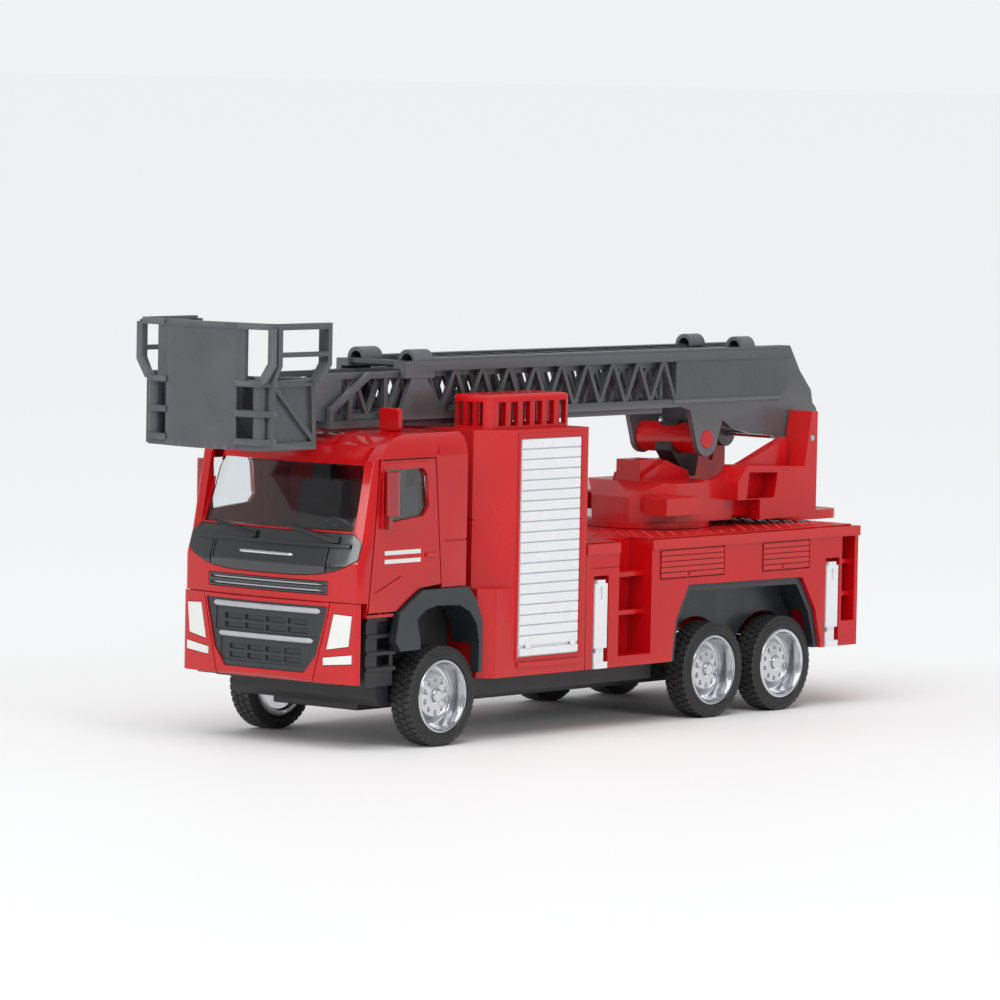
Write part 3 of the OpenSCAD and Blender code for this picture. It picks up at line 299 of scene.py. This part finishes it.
def rounded_copy(cad_node, width):
    """The CAD node's own shape with its sharp edges rounded to width mm.
    Where that would fold a face over itself, less rounding is tried, and at last none. The material's own
    rounding of the light is left then."""
    source = frame["nodes"][cad_node].data
    bm = bmesh.new()
    for share in (1.0, 0.6, 0.35):
        shape = bevelled(source, width * share)
        if folded_share(shape) < FOLDED_LIMIT:
            bm.from_mesh(shape)
            return bm
    bm.from_mesh(source)
    bmesh.ops.remove_doubles(bm, verts=bm.verts, dist=MERGE_DISTANCE)
    return bm


def clipped_to(bm, cad_node):
    """Keeps every vertex inside the CAD node's own box."""
    low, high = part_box(cad_node)
    for v in bm.verts:
        v.co = Vector([min(max(v.co[i], low[i]), high[i]) for i in range(3)])
    return bm


# ------------------------------------------------------------------ CAD shapes, with moulded edges

# Edge rounding in mm, usual and where a piece needs more or less
EDGE = 0.22
EDGES = {"rear_body": 0.35, "pump_body": 0.4, "turntable": 0.4, "chassis_base": 0.3, "cab_interior": 0.3,
         "front_fenders": 0.28, "rear_fenders": 0.3, "ladder_base": 0.2, "ladder_middle": 0.13,
         "ladder_fly": 0.13, "bucket": 0.12, "wipers": 0.06, "upper_grille": 0.08, "main_grille": 0.1,
         "fog_lights": 0.08, "headlights": 0.1, "bumper": 0.14, "cab_steps": 0.14,
         "shutter_handles": 0.12, "windscreen": 0.08, "front_panel": 0.12, "cab_shell": 0.2,
         "door_left": 0.14, "door_right": 0.14, "chassis_screws": 0.12, "locker_shutters": 0.05,
         "steering_wheel": 0.1, "door_glass_left": 0.08, "door_glass_right": 0.08, "deck_plate": 0.15,
         "mirror_left": 0.3, "mirror_right": 0.3, "roof_cage": 0.25, "ladder_guide": 0.25}
REBUILT = {n for n in frame["nodes"] if n.startswith("tyre_")}
# Nodes whose finish differs from their slot's
SPECIAL = {"mirror_left": DARK_RED, "mirror_right": DARK_RED, "lift_cylinder": MATERIAL["red_plastic"]}

for cad_node in sorted(set(frame["nodes"]) - REBUILT):
    slot_name = SLOT_MATERIAL[cad_node]
    shape = clipped_to(rounded_copy(cad_node, EDGES.get(cad_node, EDGE)), cad_node)
    finish = SPECIAL.get(cad_node, MATERIAL[slot_name])
    add_piece(cad_node + "_moulded", shape, finish, body_of(cad_node), replaces=[cad_node])

# ------------------------------------------------------------------ tyres

TREAD_BLOCKS = 44
TREAD_PITCH = 2 * math.pi / TREAD_BLOCKS
GROOVE_DEPTH = 0.28 * MM
# Rows of blocks across the tyre: start and end as shares of its width, shift along it and slant in pitches
TREAD_ROWS = [(0.1, 0.35, 0.0, 0.1), (0.39, 0.61, 0.5, 0.0), (0.65, 0.9, 0.0, -0.1)]


def add_tread_block(bm, place_on_tyre, start, end, middle, slant, radius):
    """One block of tread that rises from the groove and narrows to its top."""
    corners = []
    mid_share = (start + end) / 2
    layers = ((radius - GROOVE_DEPTH - 0.1 * MM, 1.0), (radius - 0.07 * MM, 0.97), (radius, 0.88))
    for depth, grow in layers:
        for share, lean in ((start, -1), (end, 1)):
            for edge in (-1, 1):
                across = mid_share + (share - mid_share) * (0.5 + grow / 2)
                turn = middle + edge * TREAD_PITCH * 0.39 * grow + lean * slant * TREAD_PITCH
                corners.append(bm.verts.new(place_on_tyre(across, depth, turn)))
    for a, b in ((0, 4), (4, 8)):
        for p, q in ((0, 1), (1, 3), (3, 2), (2, 0)):
            bm.faces.new((corners[a + p], corners[a + q], corners[b + q], corners[b + p]))
    bm.faces.new([corners[k] for k in (8, 9, 11, 10)])
    bm.faces.new([corners[k] for k in (0, 2, 3, 1)])


def build_tyre(cad_node):
    """A tyre with a raised bead ring on its side, rounded shoulders and three rows of tread blocks."""
    low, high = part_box(cad_node)
    side = 1 if low.x + high.x > 0 else -1
    centre = Vector((0, (low.y + high.y) / 2, (low.z + high.z) / 2))
    inner, outer = sorted((abs(low.x), abs(high.x)))
    width = outer - inner
    radius = (high.z - low.z) / 2
    rim_low, rim_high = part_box(cad_node.replace("tyre", "rim"))
    bead = (rim_high.z - rim_low.z) / 2
    groove = radius - GROOVE_DEPTH

    # Half section from the outer bead over the tread to the inner bead: (share of the width, radius)
    section = [(0.93, bead), (0.985, bead + 0.25 * MM), (1.0, bead + 0.6 * MM), (0.985, bead + 0.85 * MM),
               (0.965, bead + 0.95 * MM), (0.975, bead + 1.25 * MM), (0.965, bead + 1.6 * MM),
               (0.93, groove - 0.25 * MM), (0.89, groove), (0.11, groove), (0.07, groove - 0.25 * MM),
               (0.02, bead + 1.4 * MM), (0.0, bead + 0.7 * MM), (0.06, bead)]
    bm = bmesh.new()
    rings = add_lathe(bm, [(inner + share * width, r) for share, r in section], centre, side, steps=108)
    first, last = rings[0], rings[-1]
    for i in range(len(first)):
        j = (i + 1) % len(first)
        bm.faces.new((last[i], last[j], first[j], first[i]))

    def place_on_tyre(share, depth, turn):
        x = side * (inner + share * width)
        return centre + Vector((x, depth * math.cos(turn), depth * math.sin(turn)))

    for start, end, shift, slant in TREAD_ROWS:
        for i in range(TREAD_BLOCKS):
            add_tread_block(bm, place_on_tyre, start, end, (i + shift) * TREAD_PITCH, slant, radius)
    add_piece(cad_node + "_treaded", bm, MATERIAL["tyre"], body_of(cad_node), replaces=[cad_node],
              smooth_angle=30)


for cad_node in sorted(n for n in frame["nodes"] if n.startswith("tyre_")):
    build_tyre(cad_node)

# ------------------------------------------------------------------ raised pattern of the rear deck


# A lozenge of the pattern: spacing, half length, half width, height and depth of its foot below the plate
LOZENGE_PITCH, LOZENGE_LONG, LOZENGE_WIDE = 2.1 * MM, 0.72 * MM, 0.26 * MM
LOZENGE_TALL, LOZENGE_FOOT = 0.12 * MM, 0.05 * MM
LOZENGE_OUTLINE = ((1, 0), (0.35, 0.85), (-0.35, 0.85), (-1, 0), (-0.35, -0.85), (0.35, -0.85))
FIRST_ROW, LAST_MARGIN = 0.9 * MM, 0.8 * MM
# Places with no pattern: the turntable's ring, and round the notches over the step niches
SLEW_Y, RING_RADIUS = 49 * MM, 20.6 * MM
NOTCH_X, NOTCH_Y = 18.2 * MM, (5.6 * MM, 18.7 * MM)


def add_lozenge(bm, at, turn):
    """One raised lozenge with its long axis turned by turn."""
    along = Vector((math.cos(turn), math.sin(turn), 0))
    across = Vector((-along.y, along.x, 0))
    sink, rise = Vector((0, 0, LOZENGE_FOOT)), Vector((0, 0, LOZENGE_TALL))
    foot = [bm.verts.new(at + along * a * LOZENGE_LONG + across * b * LOZENGE_WIDE - sink)
            for a, b in LOZENGE_OUTLINE]
    crown = [bm.verts.new(at + along * a * LOZENGE_LONG * 0.6 + across * b * LOZENGE_WIDE * 0.5 + rise)
             for a, b in LOZENGE_OUTLINE]
    for k in range(len(foot)):
        n = (k + 1) % len(foot)
        bm.faces.new((foot[k], foot[n], crown[n], crown[k]))
    bm.faces.new(crown)
    bm.faces.new(foot[::-1])


def build_tread_plate():
    """Rows of small lozenges on the deck plate, each second one turned a quarter."""
    low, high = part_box("deck_plate")
    ring_low, ring_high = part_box("turntable")
    ring_centre = Vector(((ring_low.x + ring_high.x) / 2, SLEW_Y))
    bm = bmesh.new()
    columns = int((high.x - low.x - 2 * LAST_MARGIN) / LOZENGE_PITCH)
    rows = int((high.y - low.y - 2 * LAST_MARGIN) / LOZENGE_PITCH)
    for i in range(columns + 1):
        for j in range(rows + 1):
            x = low.x + FIRST_ROW + i * LOZENGE_PITCH
            y = low.y + FIRST_ROW + j * LOZENGE_PITCH
            at_notch = abs(x) > NOTCH_X and NOTCH_Y[0] < y < NOTCH_Y[1]
            in_ring = (Vector((x, y)) - ring_centre).length < RING_RADIUS
            if at_notch or in_ring or x > high.x - LAST_MARGIN or y > high.y - LAST_MARGIN:
                continue
            add_lozenge(bm, Vector((x, y, high.z)), math.radians(45 if (i + j) % 2 else -45))
    add_piece("deck_tread", bm, MATERIAL["red_plastic"], body_of("deck_plate"),
              smooth_angle=60)


build_tread_plate()

# ------------------------------------------------------------------ trim of the cab

FRONT_RADIUS = 140 * MM


def add_front_bar(bm, half_width, z, height, depth, front_y):
    """A bar with a rounded section and round ends that follows the curve of the cab's front."""
    steps, around = 28, 12
    rings = []
    for i in range(steps + 1):
        x = half_width * (2 * i / steps - 1)
        end = 1 - min(1.0, (half_width - abs(x)) / (height / 2))
        swell = math.sqrt(max(0.02, 1 - end * end))
        y = front_y + x * x / (2 * FRONT_RADIUS)
        rings.append([bm.verts.new((x, y - depth * swell * math.cos(a), z + height / 2 * swell * math.sin(a)))
                      for a in (2 * math.pi * k / around for k in range(around))])
    for a, b in zip(rings, rings[1:]):
        for k in range(around):
            j = (k + 1) % around
            bm.faces.new((a[k], a[j], b[j], b[k]))
    bm.faces.new(rings[0][::-1])
    bm.faces.new(rings[-1])


def add_front_bars(name, cad_node, material, bars):
    """Bars on the front of a node, each given in mm: (half width, height above the node's foot, thickness,
    how far it stands out, how far its middle is set into the node)."""
    low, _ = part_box(cad_node)
    bm = bmesh.new()
    for half_width, up_from_foot, height, depth, inset in bars:
        add_front_bar(bm, half_width * MM, low.z + up_from_foot * MM, height * MM, depth * MM,
                      low.y + inset * MM)
    add_piece(name, bm, material, body_of(cad_node))


def node_height(cad_node):
    """Height of a node in mm."""
    low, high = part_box(cad_node)
    return (high.z - low.z) / MM


# The grilles' bars and lines get the light grey finish, a painted highlight on bars of slate plastic.
add_front_bars("grille_bars", "main_grille", HIGHLIGHT_GREY_BAR,
               [(15.4, node_height("main_grille") - 1.1, 1.3, 0.45, 0.2), (13.6, 6.7, 1.2, 0.45, 0.2)])
add_front_bars("panel_chrome_bar", "front_panel", MATERIAL["chrome"], [(7.6, 4.1, 0.75, 0.3, 0.3)])
add_front_bars("upper_grille_lines", "upper_grille", HIGHLIGHT_GREY_BAR,
               [(15.2, share * node_height("upper_grille"), 0.3, 0.12, 0.1) for share in (0.28, 0.74)])

# Two plain white stripes on each door: their feet, height, ends along the door and thickness in and out of it
DOOR_SKIN_X = 25 * MM
STRIPE_FEET, STRIPE_HEIGHT = (39.3 * MM, 41.1 * MM), 0.9 * MM
STRIPE_START_Y, STRIPE_END_Y = -68.6 * MM, -57.2 * MM
STRIPE_IN, STRIPE_OUT = 0.1 * MM, 0.03 * MM

for side, label in ((1, "left"), (-1, "right")):
    stripes = bmesh.new()
    x0, x1 = sorted((side * (DOOR_SKIN_X - STRIPE_IN), side * (DOOR_SKIN_X + STRIPE_OUT)))
    for z in STRIPE_FEET:
        add_rounded_box(stripes, (x0, STRIPE_START_Y, z), (x1, STRIPE_END_Y, z + STRIPE_HEIGHT),
                        bevel=0.02 * MM)
    add_piece("door_stripes_" + label, stripes, MATERIAL["lamp_white"], "door_" + label)

# ------------------------------------------------------------------ stage, light and camera

FLOOR_SIZE = 60
floor_mesh = bpy.data.meshes.new("floor")
corners = [(x * FLOOR_SIZE / 2, y * FLOOR_SIZE / 2, 0) for x, y in ((-1, -1), (1, -1), (1, 1), (-1, 1))]
floor_mesh.from_pydata(corners, [], [(0, 1, 2, 3)])
floor = bpy.data.objects.new("floor", floor_mesh)
bpy.context.scene.collection.objects.link(floor)
pale = bpy.data.materials.new("pale_floor")
pale.use_nodes = True
pale_shader = pale.node_tree.nodes["Principled BSDF"]
pale_shader.inputs["Base Color"].default_value = (0.9, 0.9, 0.9, 1)
pale_shader.inputs["Roughness"].default_value = 0.6
floor_mesh.materials.append(pale)

# The room is white where the camera looks at it and dimmer where it lights the toy
ROOM_LIGHT, BACKDROP_LIGHT = 0.5, 0.9
world = bpy.data.worlds.new("studio")
world.use_nodes = True
room = world.node_tree.nodes["Background"]
room.inputs["Color"].default_value = (0.97, 0.985, 1, 1)
seen = node(world.node_tree, "ShaderNodeMapRange", To_Min=ROOM_LIGHT, To_Max=BACKDROP_LIGHT)
world.node_tree.links.new(world.node_tree.nodes.new("ShaderNodeLightPath").outputs["Is Camera Ray"],
                          seen.inputs["Value"])
world.node_tree.links.new(seen.outputs["Result"], room.inputs["Strength"])
bpy.context.scene.world = world
bpy.context.scene.view_settings.view_transform = "Standard"


def add_light(data, place, direction, power):
    """A light at place that shines along direction."""
    data.energy = power
    made = bpy.data.objects.new(data.name, data)
    made.location = place
    made.rotation_mode = "QUATERNION"
    made.rotation_quaternion = direction.to_track_quat("-Z", "Y")
    bpy.context.scene.collection.objects.link(made)


def add_softbox(name, place, size, power):
    """A square softbox at place, aimed at the middle of the toy."""
    data = bpy.data.lights.new(name, "AREA")
    data.size = size
    add_light(data, place, Vector((0, 0, 0.04)) - Vector(place), power)


sun = bpy.data.lights.new("sun", "SUN")
sun.angle = math.radians(50)
add_light(sun, (0, 0, 0), Vector((-0.25, 0.55, -1)), power=2.0)
add_softbox("left_softbox", (0.95, -0.15, 0.45), size=0.3, power=1.5)
add_softbox("front_softbox", (-0.25, -0.95, 0.35), size=0.3, power=1.5)

# Camera that sees the toy as a long lens does, a little above its wheels and to its left front.
# OFF_AXIS moves it right and up without turning it.
AZIMUTH, ELEVATION, ROLL = math.radians(40.03), math.radians(3.94), math.radians(1.09)
DISTANCE, LENS = 1.401, 229.6
AIM = Vector((0, 0.010, 0.035))
OFF_AXIS = (-0.00746, 0.01299)
back = Vector((math.sin(AZIMUTH) * math.cos(ELEVATION), -math.cos(AZIMUTH) * math.cos(ELEVATION),
               math.sin(ELEVATION)))
level = Vector((math.cos(AZIMUTH), math.sin(AZIMUTH), 0))
above = back.cross(level)
right = level * math.cos(ROLL) + above * math.sin(ROLL)
up = -level * math.sin(ROLL) + above * math.cos(ROLL)
camera_data = bpy.data.cameras.new("camera")
camera_data.lens = LENS
camera_data.sensor_width = 36
camera_data.clip_start, camera_data.clip_end = 0.01, 50
camera = bpy.data.objects.new("camera", camera_data)
camera.rotation_mode = "QUATERNION"
camera.rotation_quaternion = Matrix((right, up, back)).transposed().to_quaternion()
camera.location = AIM + back * DISTANCE + right * OFF_AXIS[0] + up * OFF_AXIS[1]
bpy.context.scene.collection.objects.link(camera)
bpy.context.scene.camera = camera
